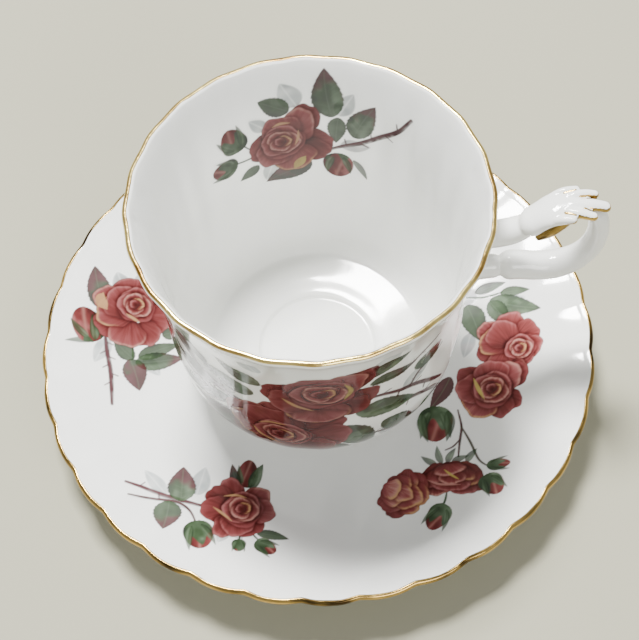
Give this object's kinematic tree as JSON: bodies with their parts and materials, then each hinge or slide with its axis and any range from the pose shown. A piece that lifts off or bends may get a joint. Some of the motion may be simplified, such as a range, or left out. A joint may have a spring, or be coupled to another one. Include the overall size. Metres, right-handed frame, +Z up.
{
  "type": "teacup and saucer",
  "caption": "Fluted bone-china teacup with a leaf-topped scroll handle, standing in its scalloped saucer, with gilded edges and rose sprays.",
  "frame": {"origin": "on the axis that the cup and saucer share, on the surface that the saucer stands on", "axes": "+Z up along that axis, +X towards the cup's handle"},
  "size_m": [0.1402, 0.1402, 0.0794],
  "materials": {
    "china": "glazed bone china, glossy",
    "gilding": "burnished gilding",
    "transfer": "printed rose transfer under a glossy glaze"
  },
  "bodies": {
    "saucer": {"saucer_dish": "china", "saucer_rim_gilding": "gilding", "saucer_left_spray": "transfer", "saucer_front_spray": "transfer", "saucer_right_spray": "transfer", "saucer_back_spray": "transfer"},
    "cup": {"cup_bowl": "china", "cup_foot": "china", "cup_foot_gilding": "gilding", "cup_rim_gilding": "gilding", "cup_front_spray": "transfer", "cup_back_spray": "transfer", "cup_inside_spray": "transfer", "handle_thumb_leaf": "china", "handle_loop": "china", "handle_leaf_gilding": "gilding"}
  },
  "joints": [
    {"name": "cup_lift", "type": "slide", "parent": "saucer", "child": "cup", "axis": [0, 0, 1], "range_m": [0, 0.1]}
  ]
}
